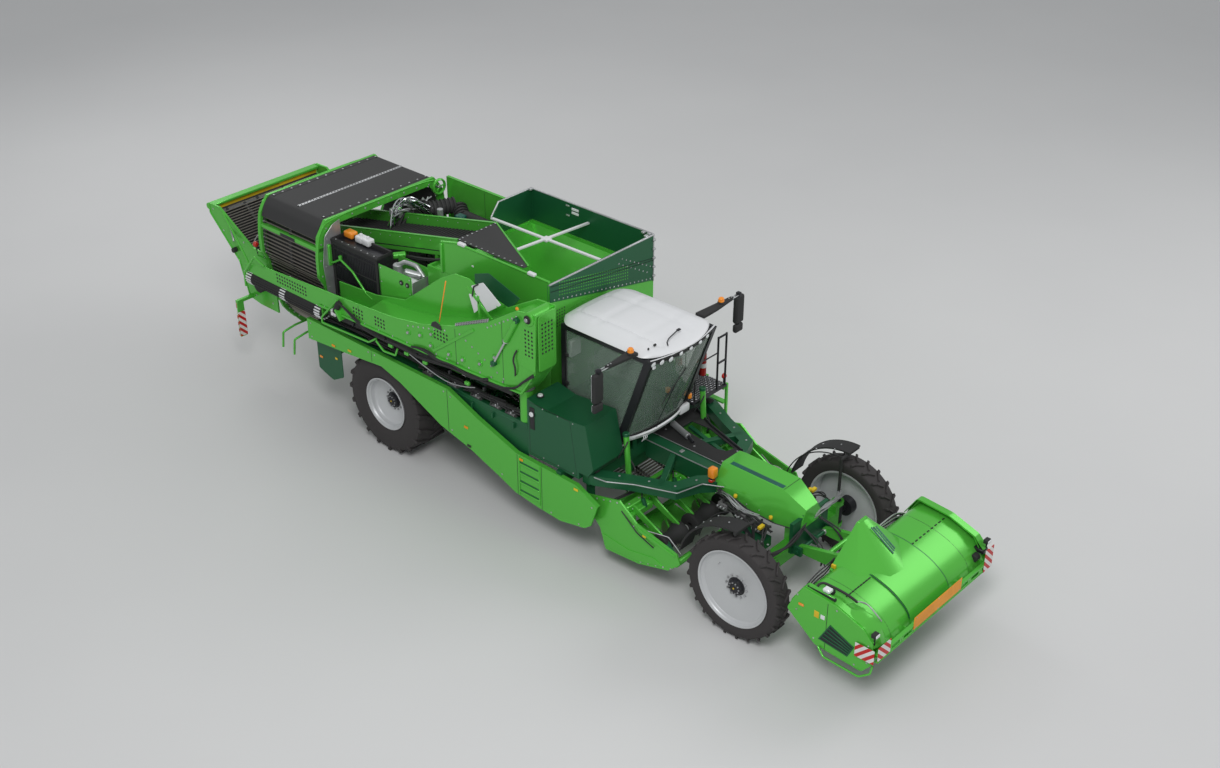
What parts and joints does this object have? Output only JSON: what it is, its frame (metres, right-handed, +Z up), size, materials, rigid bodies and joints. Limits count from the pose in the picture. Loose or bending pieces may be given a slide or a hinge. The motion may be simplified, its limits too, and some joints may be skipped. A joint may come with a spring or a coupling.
{
  "type": "self-propelled potato harvester",
  "caption": "Self-propelled potato harvester with front haulm topper, digging unit, cab, bunker, ring elevator and side discharge boom.",
  "frame": {"origin": "on the ground under the middle of the machine", "axes": "+Z up, -Y towards the front of the machine, -X towards its right-hand side"},
  "size_m": [3.58, 15.3199, 4.18],
  "materials": {
    "light_green_paint": "gloss",
    "dark_green_paint": "satin",
    "black_rubber": "matte",
    "tyre_rubber": "matte",
    "rim_grey_paint": "satin",
    "black_steel": "satin",
    "black_plastic": "matte",
    "rod_web_steel": "worn",
    "engine_iron": "matte",
    "roof_white": "satin",
    "cab_glass": "clear",
    "seat_fabric": "woven"
  },
  "bodies": {
    "chassis": {"access_ladder": "light_green_paint", "air_filter_and_exhaust": "black_steel", "boom_pivot_post": "light_green_paint", "bunker": "light_green_paint", "bunker_extension": "dark_green_paint", "bunker_guide_flap": "black_rubber", "cab_glass": "cab_glass", "cab_platform": "black_steel", "cab_roof": "roof_white", "cab_shell": "black_steel", "engine_block": "engine_iron", "engine_side_panel": "light_green_paint", "filling_belt": "black_rubber", "filling_conveyor": "light_green_paint", "first_sieve_web": "rod_web_steel", "front_axle": "light_green_paint", "front_portal_frame": "dark_green_paint", "fuel_tank": "dark_green_paint", "left_side_panel": "light_green_paint", "main_frame": "dark_green_paint", "mirror_arms": "black_steel", "neck_cover": "light_green_paint", "operator_seat": "seat_fabric", "radiator_unit": "black_steel", "rear_axle": "light_green_paint", "rear_rod_web": "rod_web_steel", "rear_web_frame": "light_green_paint", "right_side_panel": "light_green_paint", "ring_elevator_frame": "light_green_paint", "ring_elevator_web": "black_rubber", "second_sieve_web": "rod_web_steel", "service_cabinet": "light_green_paint", "steering_column": "black_steel"},
    "front_knuckle_right": {"front_knuckle_right": "black_steel", "front_mudguard_right": "black_plastic"},
    "front_knuckle_left": {"front_knuckle_left": "black_steel", "front_mudguard_left": "black_plastic"},
    "rear_knuckle_right": {"rear_knuckle_right": "black_steel"},
    "rear_knuckle_left": {"rear_knuckle_left": "black_steel"},
    "front_wheel_right": {"front_rim_right": "rim_grey_paint", "front_tyre_right": "tyre_rubber"},
    "front_wheel_left": {"front_rim_left": "rim_grey_paint", "front_tyre_left": "tyre_rubber"},
    "rear_wheel_right": {"rear_rim_right": "rim_grey_paint", "rear_tyre_right": "tyre_rubber"},
    "rear_wheel_left": {"rear_rim_left": "rim_grey_paint", "rear_tyre_left": "tyre_rubber"},
    "haulm_topper": {"topper_housing": "light_green_paint"},
    "topper_rotor": {"topper_rotor": "rod_web_steel"},
    "digging_unit": {"digging_frame": "light_green_paint"},
    "diabolo_rollers": {"diabolo_rollers": "black_rubber"},
    "discharge_boom": {"boom_belt": "black_rubber", "boom_end_rolls": "black_rubber", "boom_frame": "light_green_paint"},
    "cab_door": {"cab_door": "black_steel", "cab_door_glass": "cab_glass"}
  },
  "joints": [
    {"name": "front_steer_right", "type": "hinge", "parent": "chassis", "child": "front_knuckle_right", "pos_m": [-1.1, -5.15, 0.87], "axis": [0, 0, 1], "range_deg": [-28, 28]},
    {"name": "rear_steer_right", "type": "hinge", "parent": "chassis", "child": "rear_knuckle_right", "pos_m": [-0.7, 2.51, 0.93], "axis": [0, 0, 1], "range_deg": [-8, 8]},
    {"name": "front_wheel_spin_right", "type": "hinge", "parent": "front_knuckle_right", "child": "front_wheel_right", "pos_m": [-1.4, -5.15, 0.87], "axis": [1, 0, 0], "continuous": true},
    {"name": "rear_wheel_spin_right", "type": "hinge", "parent": "rear_knuckle_right", "child": "rear_wheel_right", "pos_m": [-1.225, 2.51, 0.93], "axis": [1, 0, 0], "continuous": true},
    {"name": "front_steer_left", "type": "hinge", "parent": "chassis", "child": "front_knuckle_left", "pos_m": [1.1, -5.15, 0.87], "axis": [0, 0, 1], "range_deg": [-28, 28]},
    {"name": "rear_steer_left", "type": "hinge", "parent": "chassis", "child": "rear_knuckle_left", "pos_m": [0.7, 2.51, 0.93], "axis": [0, 0, 1], "range_deg": [-8, 8]},
    {"name": "front_wheel_spin_left", "type": "hinge", "parent": "front_knuckle_left", "child": "front_wheel_left", "pos_m": [1.4, -5.15, 0.87], "axis": [1, 0, 0], "continuous": true},
    {"name": "rear_wheel_spin_left", "type": "hinge", "parent": "rear_knuckle_left", "child": "rear_wheel_left", "pos_m": [1.225, 2.51, 0.93], "axis": [1, 0, 0], "continuous": true},
    {"name": "topper_lift", "type": "hinge", "parent": "chassis", "child": "haulm_topper", "pos_m": [0, -5.48, 1.1], "axis": [1, 0, 0], "range_deg": [0, 12]},
    {"name": "topper_rotor_spin", "type": "hinge", "parent": "haulm_topper", "child": "topper_rotor", "pos_m": [0, -6.83, 1.01], "axis": [1, 0, 0], "continuous": true},
    {"name": "digging_unit_lift", "type": "hinge", "parent": "chassis", "child": "digging_unit", "pos_m": [0, -2.225, 1.1], "axis": [1, 0, 0], "range_deg": [0, 14]},
    {"name": "diabolo_spin", "type": "hinge", "parent": "digging_unit", "child": "diabolo_rollers", "pos_m": [0, -3.6, 0.8], "axis": [1, 0, 0], "continuous": true},
    {"name": "boom_swing", "type": "hinge", "parent": "chassis", "child": "discharge_boom", "pos_m": [-1.465, -0.9, 2.6], "axis": [0, 0, 1], "range_deg": [0, 90]},
    {"name": "cab_door_swing", "type": "hinge", "parent": "chassis", "child": "cab_door", "pos_m": [0.698, -1.183, 2.7], "axis": [0, 0, 1], "range_deg": [0, 80]}
  ],
  "couplings": [
    {"joint": "front_steer_left", "follows": "front_steer_right", "ratio": 1},
    {"joint": "rear_steer_left", "follows": "rear_steer_right", "ratio": 1}
  ]
}
